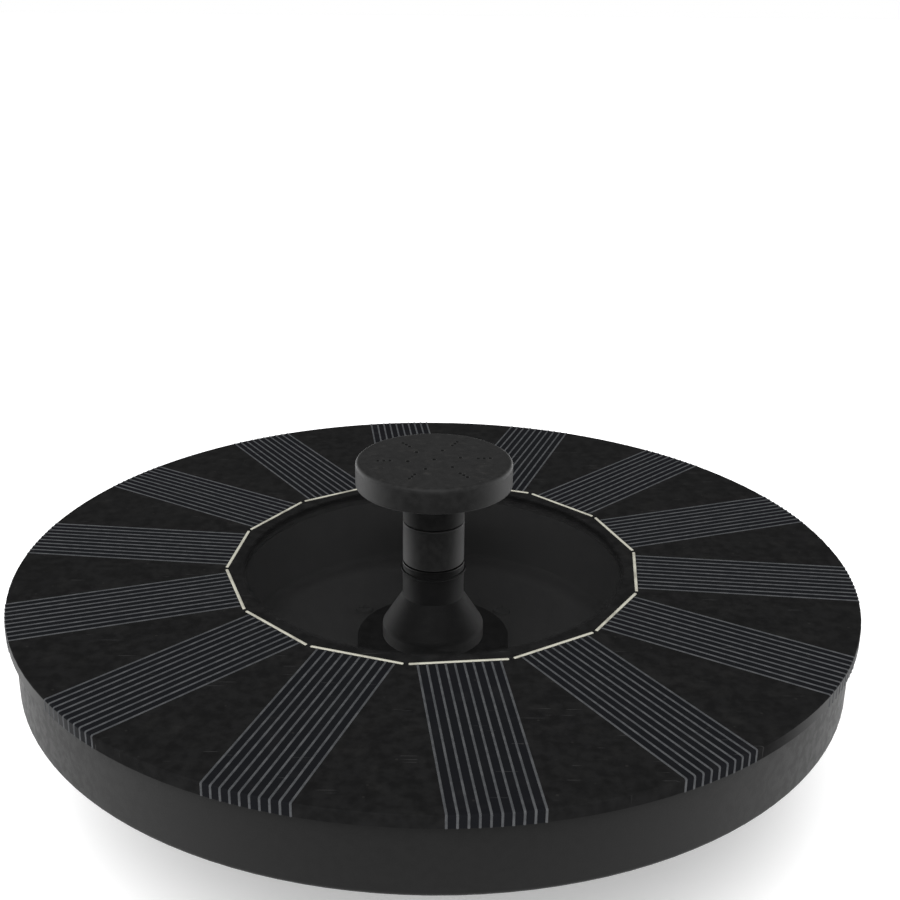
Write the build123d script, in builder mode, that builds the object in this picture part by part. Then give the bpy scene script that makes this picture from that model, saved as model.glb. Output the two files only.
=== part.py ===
"""Floating solar fountain pump: a round photovoltaic float with a pump hung in its middle.

Millimetres, +Z up. The origin is the centre of the ground plane that the rubber feet stand on.
Every piece is drawn where it sits in the assembled fountain and is written to parts/.
"""
import os
from math import asin, cos, degrees, radians, sin, tan

from build123d import *

# --- Driving dimensions: the float and its panel ------------------------------------------------
PANEL_RADIUS = 80.0
PANEL_TOP = 48.0
COVER_THICKNESS = 1.2
RIM_DEPTH = 2.2
EDGE_ROUND = 0.25
FLOAT_RADIUS = 78.8
FLOAT_DEPTH = 15.0
FLOAT_WALL = 1.6
WELL_RADIUS = 37.0

# --- Photovoltaic pattern -----------------------------------------------------------------------
CELL_COUNT = 14
CELL_PITCH = 360.0 / CELL_COUNT
FIRST_CELL_ANGLE = 276.5
CELL_THICKNESS = 0.3
CELL_GAP = 0.5
CELL_OUTER_RADIUS = 77.0
BUS_APOTHEM = 39.05
BUS_WIDTH = 0.7
BUS_HEIGHT = 0.2
BUS_END_GAP = 0.9
LINES_PER_CELL = 10
LINE_PITCH = 1.555
LINE_WIDTH = 0.42
LINE_HEIGHT = 0.12
BOARD_THICKNESS = 1.2
GASKET_THICKNESS = 0.3

# --- Water path ---------------------------------------------------------------------------------
PIPE_RADIUS = 6.0
PIPE_BORE = 4.4
FLARE_START_DEPTH = 7.0
FLARE_END_DEPTH = 13.4
FLARE_RADIUS = 10.0
FLARE_ROUND = 1.6
BOSS_RADIUS = 15.0
BOSS_DEPTH = 16.0
SLEEVE_RADIUS = 5.95
SLEEVE_BORE = 3.2
SLEEVE_TOP = 8.6
NECK_RADIUS = 5.95
HEAD_RADIUS = 15.0
HEAD_BOTTOM = 16.2
HEAD_TOP = 21.1
HEAD_WALL = 1.15
HEAD_ROUND = 0.9
PUSH_CLEARANCE = 0.08
REST_GAP = 0.3

# --- Pump ---------------------------------------------------------------------------------------
HOUSING_RADIUS = 26.5
SPIGOT_RADIUS = 24.2
SPIGOT_WALL = 1.6
MOTOR_CAVITY_RADIUS = 21.0
DUCT_OFFSET = 17.5
DUCT_BORE = 2.6
DUCT_WALL = 1.2
CAN_RADIUS = 8.4
CAN_WALL = 1.0
VOLUTE_RADIUS = 12.3
VOLUTE_WALL = 1.5
IMPELLER_RADIUS = 10.8
MAGNET_RADIUS = 6.7
SHAFT_RADIUS = 0.9
SHAFT_CLEARANCE = 0.06
VOLUTE_SCREW_RADIUS = 17.5
VOLUTE_SCREW_ANGLES = (35.0, 145.0, 215.0, 325.0)
HUB_FLANGE_RADIUS = 46.0
DISH_ROUND = 3.4
HUB_SCREW_RADIUS = 42.6
HUB_SCREW_COUNT = 6
HOUSING_SCREW_RADIUS = 20.5
LEAD_RADIUS = 1.1
LEAD_DROP_Y = 18.5
LEAD_START_Y = 50.0
LEAD_BEND = 9.0
LEAD_Z = 41.5
TERMINAL_LOW = 39.9
FOAM_TOP = 39.6

# --- Strainer and its bayonet lock --------------------------------------------------------------
STRAINER_BORE = 24.55
LUG_COUNT = 3
LUG_WIDTH = 4.0
LUG_REACH = 25.2
LUG_LOW = 9.0
LUG_HIGH = 10.4
LUG_ANGLE = 90.0
TWIST_RANGE = 20.0
SLOT_FLOOR_RADIUS = 25.5

# --- Heights of the stack, from the ground up ---------------------------------------------------
STRAINER_FLOOR = 1.0
STRAINER_INSIDE = 2.4
SPONGE_TOP = 5.0
VOLUTE_LOW = 6.6
CHAMBER_LOW = 7.8
CHAMBER_HIGH = 12.8
CAN_FLANGE_TOP = 14.0
CORE_LOW = 15.8
CORE_HIGH = 20.2
CAVITY_TOP = 22.6
GALLERY_LOW = 23.6
CAN_TOP = 22.4
HUB_LOW = PANEL_TOP - FLOAT_DEPTH - 5.6
HUB_FLOOR = HUB_LOW + 1.6
BOSS_TOP = PANEL_TOP - BOSS_DEPTH
FLOAT_LOW = PANEL_TOP - FLOAT_DEPTH
COVER_LOW = PANEL_TOP - COVER_THICKNESS
RIM_LOW = PANEL_TOP - RIM_DEPTH
CELL_LOW = COVER_LOW - CELL_THICKNESS
BOARD_LOW = CELL_LOW - BOARD_THICKNESS
LEDGE_TOP = BOARD_LOW - GASKET_THICKNESS
STRAINER_TOP = 12.7
HOUSING_STEP = STRAINER_TOP + REST_GAP


def half_section(*corners):
    """Return the closed half section through the (radius, height) corners, on the XZ plane."""
    with BuildSketch(Plane.XZ) as section:
        with BuildLine():
            Polyline(*corners, close=True)
        make_face()
    return section.sketch


def ring_section(inner, outer, low, high):
    """Return the half section of a plain ring between two radii and two heights."""
    return half_section((inner, low), (outer, low), (outer, high), (inner, high))


def arc_block(inner, outer, low, high, start, sweep):
    """Return a block of a ring that starts at one angle and sweeps anticlockwise."""
    with BuildPart() as block:
        revolve(ring_section(inner, outer, low, high), axis=Axis.Z, revolution_arc=sweep)
    return block.part.rotate(Axis.Z, start)


def polar_point(radius, angle):
    """Return the XY point at a radius and an angle in degrees."""
    return (radius * cos(radians(angle)), radius * sin(radians(angle)))


def save(builder, name):
    """Label a finished piece and write it as its own STEP file."""
    builder.part.label = name
    export_step(builder.part, f"parts/{name}.step")


def screw(name, places, head_face, head_height, head_radius, shank_radius, shank_end):
    """Write a group of equal cross-recess screws whose heads bear on the plane head_face.

    The head lies on the far side of that plane from shank_end.
    """
    towards_shank = 1 if shank_end > head_face else -1
    with BuildPart() as screws:
        for x, y in places:
            with BuildSketch(Plane.XY.offset(head_face)):
                with Locations((x, y)):
                    Circle(shank_radius)
            extrude(amount=shank_end - head_face)
            with BuildSketch(Plane.XY.offset(head_face)):
                with Locations((x, y)):
                    Circle(head_radius)
            extrude(amount=-towards_shank * head_height)
            with BuildSketch(Plane.XY.offset(head_face - towards_shank * head_height)):
                with Locations((x, y)):
                    Rectangle(head_radius * 1.3, head_radius * 0.28)
                    Rectangle(head_radius * 0.28, head_radius * 1.3)
            extrude(amount=towards_shank * head_height * 0.6, mode=Mode.SUBTRACT)
    save(screws, name)


def panel():
    """The smoked cover, the cells under it, the printed lines on it and the board behind it."""
    with BuildPart() as cover_blank:
        with Locations((0, 0, RIM_LOW)):
            Cylinder(PANEL_RADIUS, RIM_DEPTH, align=(Align.CENTER, Align.CENTER, Align.MIN))
        fillet(cover_blank.edges().group_by(Axis.Z)[-1], EDGE_ROUND)

    with BuildPart() as top_cover:
        add(cover_blank.part)
        revolve(ring_section(0, FLOAT_RADIUS - 1.2, RIM_LOW, COVER_LOW), axis=Axis.Z, mode=Mode.SUBTRACT)
        Hole(PIPE_RADIUS + 0.1)
    save(top_cover, "top_cover")

    with BuildPart() as line_skin:
        with Locations((0, 0, RIM_LOW)):
            Cylinder(
                PANEL_RADIUS + LINE_HEIGHT,
                RIM_DEPTH + LINE_HEIGHT,
                align=(Align.CENTER, Align.CENTER, Align.MIN),
            )
        fillet(line_skin.edges().group_by(Axis.Z)[-1], EDGE_ROUND + LINE_HEIGHT)
        add(cover_blank.part, mode=Mode.SUBTRACT)

    line_start = BUS_APOTHEM + BUS_WIDTH / 2
    line_length = PANEL_RADIUS + 1 - line_start
    with BuildPart() as one_cells_lines:
        with BuildSketch(Plane.XY.offset(RIM_LOW)):
            with Locations((line_start + line_length / 2, 0)):
                with GridLocations(1, LINE_PITCH, 1, LINES_PER_CELL):
                    Rectangle(line_length, LINE_WIDTH)
        extrude(amount=RIM_DEPTH + LINE_HEIGHT)
        add(line_skin.part, mode=Mode.INTERSECT)

    with BuildPart() as finger_lines:
        with PolarLocations(0, CELL_COUNT, start_angle=FIRST_CELL_ANGLE):
            add(one_cells_lines.part)
    save(finger_lines, "finger_lines")

    side = 2 * BUS_APOTHEM * tan(radians(CELL_PITCH / 2))
    with BuildPart() as bus_bars:
        with BuildSketch(Plane.XY.offset(PANEL_TOP)):
            with PolarLocations(BUS_APOTHEM, CELL_COUNT, start_angle=FIRST_CELL_ANGLE):
                Rectangle(BUS_WIDTH, side - BUS_END_GAP)
        extrude(amount=BUS_HEIGHT)
    save(bus_bars, "bus_bars")

    half = radians(CELL_PITCH / 2)
    inner_x = BUS_APOTHEM + BUS_WIDTH / 2
    inner_y = inner_x * tan(half) - CELL_GAP / 2 / cos(half)
    outer_angle = half - asin(CELL_GAP / 2 / CELL_OUTER_RADIUS)
    outer_x = CELL_OUTER_RADIUS * cos(outer_angle)
    outer_y = CELL_OUTER_RADIUS * sin(outer_angle)
    for number in range(CELL_COUNT):
        angle = FIRST_CELL_ANGLE + number * CELL_PITCH
        with BuildPart() as solar_cell:
            with BuildSketch(Plane.XY.offset(CELL_LOW).rotated((0, 0, angle))):
                with BuildLine():
                    Polyline((outer_x, -outer_y), (inner_x, -inner_y), (inner_x, inner_y), (outer_x, outer_y))
                    ThreePointArc((outer_x, outer_y), (CELL_OUTER_RADIUS, 0), (outer_x, -outer_y))
                make_face()
            extrude(amount=CELL_THICKNESS)
        save(solar_cell, f"solar_cell_{number + 1:02d}")

    board_edge = FLOAT_RADIUS - FLOAT_WALL
    with BuildPart() as panel_board:
        revolve(ring_section(WELL_RADIUS + 0.4, board_edge, BOARD_LOW, CELL_LOW), axis=Axis.Z)
    save(panel_board, "panel_board")

    with BuildPart() as panel_gasket:
        revolve(ring_section(board_edge - 1.8, board_edge, LEDGE_TOP, BOARD_LOW), axis=Axis.Z)
    save(panel_gasket, "panel_gasket")


def float_body():
    """The hollow ring that floats, the foam in it and the electronics under the board."""
    wall_in = FLOAT_RADIUS - FLOAT_WALL + 0.2
    ledge_in = FLOAT_RADIUS - 3.6
    well_out = WELL_RADIUS + FLOAT_WALL
    with BuildPart() as float_tray:
        revolve(
            half_section(
                (WELL_RADIUS, FLOAT_LOW),
                (FLOAT_RADIUS, FLOAT_LOW),
                (FLOAT_RADIUS, RIM_LOW),
                (wall_in, RIM_LOW),
                (wall_in, LEDGE_TOP),
                (ledge_in, LEDGE_TOP),
                (ledge_in, FLOAT_LOW + FLOAT_WALL),
                (well_out, FLOAT_LOW + FLOAT_WALL),
                (well_out, BOARD_LOW),
                (WELL_RADIUS, BOARD_LOW),
            ),
            axis=Axis.Z,
        )
        foot_circles = float_tray.edges().filter_by(GeomType.CIRCLE).group_by(Axis.Z)[0]
        fillet(foot_circles.sort_by(SortBy.RADIUS)[-1], 0.8)
        with BuildSketch(Plane.XY.offset(FLOAT_LOW)):
            with PolarLocations(HUB_SCREW_RADIUS, HUB_SCREW_COUNT):
                Circle(2.6)
        extrude(amount=7.0)
        with BuildSketch(Plane.XY.offset(FLOAT_LOW)):
            with PolarLocations(HUB_SCREW_RADIUS, HUB_SCREW_COUNT):
                Circle(0.9)
        extrude(amount=6.0, mode=Mode.SUBTRACT)
        with BuildSketch(Plane.XZ.offset(-(WELL_RADIUS - 2))):
            with Locations((0, LEAD_Z)):
                Circle(2.4)
        extrude(amount=-6.0, mode=Mode.SUBTRACT)
    save(float_tray, "float_tray")

    foam_low = FLOAT_LOW + FLOAT_WALL
    with BuildPart() as float_foam:
        revolve(ring_section(HUB_FLANGE_RADIUS, ledge_in - 0.2, foam_low, FOAM_TOP), axis=Axis.Z)
    save(float_foam, "float_foam")

    with BuildPart() as driver_board:
        with BuildSketch(Plane.XY.offset(BOARD_LOW)):
            with Locations((0, 57)):
                RectangleRounded(26, 13, 1.0)
        extrude(amount=-1.2)
    save(driver_board, "driver_board")

    board_face = BOARD_LOW - 1.2
    with BuildPart() as driver_chip:
        with BuildSketch(Plane.XY.offset(board_face)):
            with Locations((8, 57)):
                Rectangle(5, 4)
        extrude(amount=-1.4)
        chamfer(driver_chip.edges().group_by(Axis.Z)[0], 0.3)
    save(driver_chip, "driver_chip")

    with BuildPart() as smoothing_capacitor:
        with BuildSketch(Plane.XY.offset(board_face)):
            with Locations((-8.5, 57.5)):
                Circle(2.0)
        extrude(amount=-4.0)
        fillet(smoothing_capacitor.edges().group_by(Axis.Z)[0], 0.35)
    save(smoothing_capacitor, "smoothing_capacitor")

    with BuildPart() as lead_terminal:
        with BuildSketch(Plane.XY.offset(board_face)):
            with Locations((0, LEAD_START_Y + 3)):
                Rectangle(7, 6)
        extrude(amount=TERMINAL_LOW - board_face)
    save(lead_terminal, "lead_terminal")


def pump_lead():
    """The two-core lead from the driver board into the motor, with its grommet and gland."""
    with BuildPart() as lead:
        with BuildLine() as route:
            FilletPolyline(
                (0, LEAD_START_Y, LEAD_Z),
                (0, LEAD_DROP_Y, LEAD_Z),
                (0, LEAD_DROP_Y, CAVITY_TOP - 0.6),
                radius=LEAD_BEND,
            )
        with BuildSketch(Plane(origin=route.line @ 0, z_dir=route.line % 0)):
            Circle(LEAD_RADIUS)
        sweep()
    save(lead, "pump_lead")

    with BuildPart() as lead_grommet:
        with BuildSketch(Plane.XZ.offset(-(WELL_RADIUS - 1.4))):
            with Locations((0, LEAD_Z)):
                Circle(3.3)
        extrude(amount=-1.2)
        with BuildSketch(Plane.XZ.offset(-(WELL_RADIUS - 1.4))):
            with Locations((0, LEAD_Z)):
                Circle(2.35)
        extrude(amount=-4.3)
        with BuildSketch(Plane.XZ.offset(-(WELL_RADIUS + 1.7))):
            with Locations((0, LEAD_Z)):
                Circle(3.3)
        extrude(amount=-1.2)
        with BuildSketch(Plane.XZ.offset(-(WELL_RADIUS - 2))):
            with Locations((0, LEAD_Z)):
                Circle(LEAD_RADIUS)
        extrude(amount=-6.0, mode=Mode.SUBTRACT)
    save(lead_grommet, "lead_grommet")

    with BuildPart() as lead_gland:
        with BuildSketch(Plane.XY.offset(HUB_LOW)):
            with Locations((0, LEAD_DROP_Y)):
                Circle(2.4)
        extrude(amount=HUB_FLOOR - HUB_LOW)
        with BuildSketch(Plane.XY.offset(HUB_FLOOR)):
            with Locations((0, LEAD_DROP_Y)):
                Circle(3.3)
        extrude(amount=1.8, taper=18)
        with BuildSketch(Plane.XY.offset(HUB_LOW)):
            with Locations((0, LEAD_DROP_Y)):
                Circle(LEAD_RADIUS)
        extrude(amount=6.0, mode=Mode.SUBTRACT)
    save(lead_gland, "lead_gland")


def hub():
    """The dished hub that closes the float's middle, its seal and screws, and the outlet pipe."""
    dish_in = WELL_RADIUS
    dish_out = dish_in + FLOAT_WALL
    with BuildPart() as pump_hub:
        revolve(
            half_section(
                (0, HUB_LOW),
                (dish_out, HUB_LOW),
                (dish_out, FLOAT_LOW - 1.8),
                (HUB_FLANGE_RADIUS, FLOAT_LOW - 1.8),
                (HUB_FLANGE_RADIUS, FLOAT_LOW),
                (dish_in, FLOAT_LOW),
                (dish_in, HUB_FLOOR),
                (BOSS_RADIUS, HUB_FLOOR),
                (BOSS_RADIUS, BOSS_TOP),
                (0, BOSS_TOP),
            ),
            axis=Axis.Z,
        )
        flange_rim = pump_hub.edges().filter_by(GeomType.CIRCLE).sort_by(SortBy.RADIUS)[-2:]
        fillet(flange_rim.sort_by(Axis.Z)[0], 0.6)
        boss_rim = pump_hub.edges().filter_by(
            lambda edge: edge.geom_type == GeomType.CIRCLE
            and abs(edge.radius - BOSS_RADIUS) < 0.01
            and abs(edge.center().Z - BOSS_TOP) < 0.01
        )
        fillet(boss_rim, 0.4)
        dish_corner = pump_hub.edges().filter_by(
            lambda edge: edge.geom_type == GeomType.CIRCLE
            and abs(edge.radius - dish_in) < 0.01
            and abs(edge.center().Z - HUB_FLOOR) < 0.01
        )
        fillet(dish_corner, DISH_ROUND)
        revolve(ring_section(38.4, 39.8, FLOAT_LOW - 0.9, FLOAT_LOW), axis=Axis.Z, mode=Mode.SUBTRACT)
        revolve(ring_section(0, PIPE_RADIUS - 0.05, HUB_LOW + 0.6, BOSS_TOP), axis=Axis.Z, mode=Mode.SUBTRACT)
        with BuildSketch(Plane.XY.offset(HUB_LOW)):
            Circle(PIPE_BORE)
            with PolarLocations(HUB_SCREW_RADIUS, HUB_SCREW_COUNT):
                Circle(1.2)
            with PolarLocations(HOUSING_SCREW_RADIUS, 4, start_angle=45):
                Circle(1.2)
            with Locations((0, LEAD_DROP_Y)):
                Circle(2.4)
        extrude(amount=FLOAT_DEPTH, mode=Mode.SUBTRACT)
    save(pump_hub, "pump_hub")

    with BuildPart() as hub_seal:
        revolve(ring_section(38.45, 39.75, FLOAT_LOW - 0.9, FLOAT_LOW), axis=Axis.Z)
    save(hub_seal, "hub_seal")

    hub_places = [polar_point(HUB_SCREW_RADIUS, 60 * turn) for turn in range(HUB_SCREW_COUNT)]
    screw("hub_screws", hub_places, FLOAT_LOW - 1.8, 1.3, 2.1, 0.9, FLOAT_LOW + 5.8)
    housing_places = [polar_point(HOUSING_SCREW_RADIUS, 45 + 90 * turn) for turn in range(4)]
    screw("housing_screws", housing_places, HUB_FLOOR, 0.7, 1.8, 0.9, GALLERY_LOW)

    with BuildPart() as outlet_pipe:
        revolve(
            half_section(
                (PIPE_BORE, HUB_LOW + 0.6),
                (PIPE_RADIUS - 0.05, HUB_LOW + 0.6),
                (PIPE_RADIUS - 0.05, BOSS_TOP),
                (FLARE_RADIUS, BOSS_TOP),
                (FLARE_RADIUS, PANEL_TOP - FLARE_END_DEPTH),
                (PIPE_RADIUS, PANEL_TOP - FLARE_START_DEPTH),
                (PIPE_RADIUS, PANEL_TOP),
                (PIPE_BORE, PANEL_TOP),
            ),
            axis=Axis.Z,
        )
        bell_edge = outlet_pipe.edges().filter_by(
            lambda edge: edge.geom_type == GeomType.CIRCLE
            and abs(edge.radius - FLARE_RADIUS) < 0.01
            and edge.center().Z > BOSS_TOP + 0.5
        )
        fillet(bell_edge, FLARE_ROUND)
    save(outlet_pipe, "outlet_pipe")

    with BuildPart() as riser_seal:
        revolve(ring_section(PIPE_RADIUS, PIPE_RADIUS + 0.35, COVER_LOW - 0.5, COVER_LOW), axis=Axis.Z)
        fillet(riser_seal.edges().group_by(Axis.Z)[0].sort_by(SortBy.RADIUS)[-1], 0.15)
    save(riser_seal, "riser_seal")


def motor():
    """The pump housing with its riser duct, and the stator that is sealed inside it."""
    with BuildPart() as pump_housing:
        revolve(
            half_section(
                (0, CAVITY_TOP),
                (MOTOR_CAVITY_RADIUS, CAVITY_TOP),
                (MOTOR_CAVITY_RADIUS, CAN_FLANGE_TOP),
                (SPIGOT_RADIUS - SPIGOT_WALL, CAN_FLANGE_TOP),
                (SPIGOT_RADIUS - SPIGOT_WALL, VOLUTE_LOW + 1.0),
                (SPIGOT_RADIUS, VOLUTE_LOW + 1.0),
                (SPIGOT_RADIUS, HOUSING_STEP),
                (HOUSING_RADIUS, HOUSING_STEP),
                (HOUSING_RADIUS, HUB_LOW),
                (0, HUB_LOW),
            ),
            axis=Axis.Z,
        )
        with BuildSketch(Plane.XY.offset(CAN_FLANGE_TOP)):
            with Locations((0, -DUCT_OFFSET)):
                Circle(DUCT_BORE + DUCT_WALL)
            for angle in VOLUTE_SCREW_ANGLES:
                with Locations(polar_point(VOLUTE_SCREW_RADIUS, angle)):
                    Circle(2.4)
        extrude(amount=CAVITY_TOP - CAN_FLANGE_TOP)
        with BuildSketch(Plane.XY.offset(CAN_FLANGE_TOP)):
            for angle in VOLUTE_SCREW_ANGLES:
                with Locations(polar_point(VOLUTE_SCREW_RADIUS, angle)):
                    Circle(0.9)
        extrude(amount=5.0, mode=Mode.SUBTRACT)
        with BuildSketch(Plane.XY.offset(CAN_FLANGE_TOP)):
            with Locations((0, -DUCT_OFFSET)):
                Circle(DUCT_BORE)
        extrude(amount=HUB_LOW - CAN_FLANGE_TOP, mode=Mode.SUBTRACT)
        with BuildSketch(Plane.XY.offset(GALLERY_LOW)):
            Circle(PIPE_BORE)
            with Locations((0, -DUCT_OFFSET / 2)):
                SlotCenterToCenter(DUCT_OFFSET, 2 * DUCT_BORE, rotation=90)
        extrude(amount=HUB_LOW - GALLERY_LOW, mode=Mode.SUBTRACT)
        revolve(ring_section(23.6, 24.8, HUB_LOW - 0.8, HUB_LOW), axis=Axis.Z, mode=Mode.SUBTRACT)
        with BuildSketch(Plane.XY.offset(GALLERY_LOW)):
            with PolarLocations(HOUSING_SCREW_RADIUS, 4, start_angle=45):
                Circle(0.9)
        extrude(amount=HUB_LOW - GALLERY_LOW, mode=Mode.SUBTRACT)
        with BuildSketch(Plane.XY.offset(CAVITY_TOP)):
            with Locations((0, LEAD_DROP_Y)):
                Circle(LEAD_RADIUS + 0.2)
        extrude(amount=HUB_LOW - CAVITY_TOP, mode=Mode.SUBTRACT)
        lug_sweep = degrees(LUG_WIDTH / SPIGOT_RADIUS)
        lug_start = LUG_ANGLE - lug_sweep / 2
        with PolarLocations(0, LUG_COUNT):
            add(arc_block(SPIGOT_RADIUS - 0.3, LUG_REACH, LUG_LOW, LUG_HIGH, lug_start, lug_sweep))
    save(pump_housing, "pump_housing")

    with BuildPart() as housing_seal:
        revolve(ring_section(23.65, 24.75, HUB_LOW - 0.8, HUB_LOW), axis=Axis.Z)
    save(housing_seal, "housing_seal")

    with BuildPart() as stator_core:
        revolve(ring_section(11.6, 13.4, CORE_LOW, CORE_HIGH), axis=Axis.Z)
        with BuildSketch(Plane.XY.offset(CORE_LOW)):
            with PolarLocations(10.4, 6):
                Rectangle(3.0, 2.4)
        extrude(amount=CORE_HIGH - CORE_LOW)
        with BuildSketch(Plane.XY.offset(CORE_LOW)):
            Circle(CAN_RADIUS + 0.35)
        extrude(amount=CORE_HIGH - CORE_LOW, mode=Mode.SUBTRACT)
    save(stator_core, "stator_core")

    with BuildPart() as stator_coils:
        with PolarLocations(10.4, 6):
            with Locations((0, 0, (CORE_LOW + CORE_HIGH) / 2)):
                Box(1.6, 4.6, CORE_HIGH - CORE_LOW + 2.2)
        fillet(stator_coils.edges().filter_by(lambda edge: edge.length < 1.7), 0.6)
        with PolarLocations(10.4, 6):
            with Locations((0, 0, (CORE_LOW + CORE_HIGH) / 2)):
                Box(1.6, 2.4, CORE_HIGH - CORE_LOW, mode=Mode.SUBTRACT)
    save(stator_coils, "stator_coils")

    potting_top = CAN_FLANGE_TOP + 0.6
    with BuildPart() as potting_layer:
        revolve(ring_section(CAN_RADIUS, MOTOR_CAVITY_RADIUS, CAN_FLANGE_TOP, potting_top), axis=Axis.Z)
        with BuildSketch(Plane.XY.offset(CAN_FLANGE_TOP)):
            with Locations((0, -DUCT_OFFSET)):
                Circle(DUCT_BORE + DUCT_WALL)
            for angle in VOLUTE_SCREW_ANGLES:
                with Locations(polar_point(VOLUTE_SCREW_RADIUS, angle)):
                    Circle(2.4)
        extrude(amount=potting_top - CAN_FLANGE_TOP, mode=Mode.SUBTRACT)
    save(potting_layer, "potting_layer")

    can_inside = CAN_RADIUS - CAN_WALL
    can_ceiling = CAN_TOP - CAN_WALL
    flange_out = SPIGOT_RADIUS - SPIGOT_WALL - 0.15
    with BuildPart() as rotor_can:
        revolve(
            half_section(
                (can_inside, CHAMBER_HIGH),
                (flange_out, CHAMBER_HIGH),
                (flange_out, CAN_FLANGE_TOP),
                (CAN_RADIUS, CAN_FLANGE_TOP),
                (CAN_RADIUS, CAN_TOP),
                (0, CAN_TOP),
                (0, can_ceiling),
                (can_inside, can_ceiling),
            ),
            axis=Axis.Z,
        )
        with BuildSketch(Plane.XY.offset(CHAMBER_HIGH)):
            with Locations((0, -DUCT_OFFSET)):
                Circle(DUCT_BORE)
            for angle in VOLUTE_SCREW_ANGLES:
                with Locations(polar_point(VOLUTE_SCREW_RADIUS, angle)):
                    Circle(1.1)
        extrude(amount=CAN_FLANGE_TOP - CHAMBER_HIGH, mode=Mode.SUBTRACT)
    save(rotor_can, "rotor_can")


def rotor():
    """The fixed shaft and its two seats, and the magnet and impeller that spin on it."""
    shaft_low = CHAMBER_LOW - 0.6
    ceiling = CAN_TOP - CAN_WALL
    with BuildPart() as shaft:
        revolve(ring_section(0, SHAFT_RADIUS, shaft_low, ceiling - 0.4), axis=Axis.Z)
        chamfer(shaft.edges().group_by(Axis.Z)[0], 0.2)
        chamfer(shaft.edges().group_by(Axis.Z)[-1], 0.2)
    save(shaft, "shaft")

    with BuildPart() as upper_shaft_seat:
        revolve(ring_section(0, 2.4, ceiling - 2.0, ceiling), axis=Axis.Z)
        revolve(ring_section(0, SHAFT_RADIUS, ceiling - 2.0, ceiling - 0.4), axis=Axis.Z, mode=Mode.SUBTRACT)
    save(upper_shaft_seat, "upper_shaft_seat")

    with BuildPart() as lower_shaft_seat:
        revolve(ring_section(0, 1.5, VOLUTE_LOW + 0.2, CHAMBER_LOW + 1.2), axis=Axis.Z)
        revolve(ring_section(0, SHAFT_RADIUS, shaft_low, CHAMBER_LOW + 1.2), axis=Axis.Z, mode=Mode.SUBTRACT)
    save(lower_shaft_seat, "lower_shaft_seat")

    disc_low = 11.2
    disc_high = 12.2
    rotor_top = ceiling - 2.4
    with BuildPart() as impeller:
        revolve(ring_section(SHAFT_RADIUS + SHAFT_CLEARANCE, 2.8, CHAMBER_LOW + 1.6, rotor_top), axis=Axis.Z)
        revolve(ring_section(2.7, IMPELLER_RADIUS, disc_low, disc_high), axis=Axis.Z)
        with BuildSketch(Plane.XY.offset(CHAMBER_LOW + 0.6)):
            with BuildLine(mode=Mode.PRIVATE):
                blade_line = ThreePointArc((4.3, 0), (7.6, 0.9), (9.9, 3.6))
            with PolarLocations(0, 6):
                SlotArc(arc=blade_line, height=0.9)
        extrude(amount=disc_low - CHAMBER_LOW - 0.6)
    save(impeller, "impeller")

    with BuildPart() as rotor_magnet:
        revolve(ring_section(2.8, MAGNET_RADIUS, disc_high, rotor_top - 0.4), axis=Axis.Z)
        fillet(rotor_magnet.edges().group_by(Axis.Z)[-1].sort_by(SortBy.RADIUS)[-1], 0.4)
    save(rotor_magnet, "rotor_magnet")


def volute():
    """The volute cover under the impeller, with its inlet eye, spider and screws."""
    channel = 2 * DUCT_BORE
    with BuildPart() as volute_cover:
        with BuildSketch(Plane.XY.offset(VOLUTE_LOW)):
            Circle(VOLUTE_RADIUS + VOLUTE_WALL)
            with Locations((0, -DUCT_OFFSET / 2)):
                SlotCenterToCenter(DUCT_OFFSET, channel + 2 * VOLUTE_WALL, rotation=90)
            for angle in VOLUTE_SCREW_ANGLES:
                with Locations(Location((*polar_point(13.5, angle), 0), (0, 0, angle))):
                    SlotCenterToCenter(8.0, 5.4)
        extrude(amount=CHAMBER_HIGH - VOLUTE_LOW)
        with BuildSketch(Plane.XY.offset(CHAMBER_LOW)):
            Circle(VOLUTE_RADIUS)
            with Locations((0, -DUCT_OFFSET / 2)):
                SlotCenterToCenter(DUCT_OFFSET, channel, rotation=90)
        extrude(amount=CHAMBER_HIGH - CHAMBER_LOW, mode=Mode.SUBTRACT)
        with BuildSketch(Plane.XY.offset(VOLUTE_LOW)):
            Circle(4.4)
            for angle in VOLUTE_SCREW_ANGLES:
                with Locations(polar_point(VOLUTE_SCREW_RADIUS, angle)):
                    Circle(1.1)
        extrude(amount=CHAMBER_HIGH - VOLUTE_LOW, mode=Mode.SUBTRACT)
        with BuildSketch(Plane.XY.offset(VOLUTE_LOW)):
            Circle(2.4)
            with PolarLocations(3.2, 3, start_angle=90):
                Rectangle(3.0, 1.2)
        extrude(amount=CHAMBER_LOW - VOLUTE_LOW)
        with BuildSketch(Plane.XY.offset(VOLUTE_LOW + 0.2)):
            Circle(1.5)
        extrude(amount=CHAMBER_LOW - VOLUTE_LOW, mode=Mode.SUBTRACT)
    save(volute_cover, "volute_cover")

    places = [polar_point(VOLUTE_SCREW_RADIUS, angle) for angle in VOLUTE_SCREW_ANGLES]
    screw("volute_screws", places, VOLUTE_LOW, 1.2, 1.9, 0.9, CAN_FLANGE_TOP + 4.8)


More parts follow.
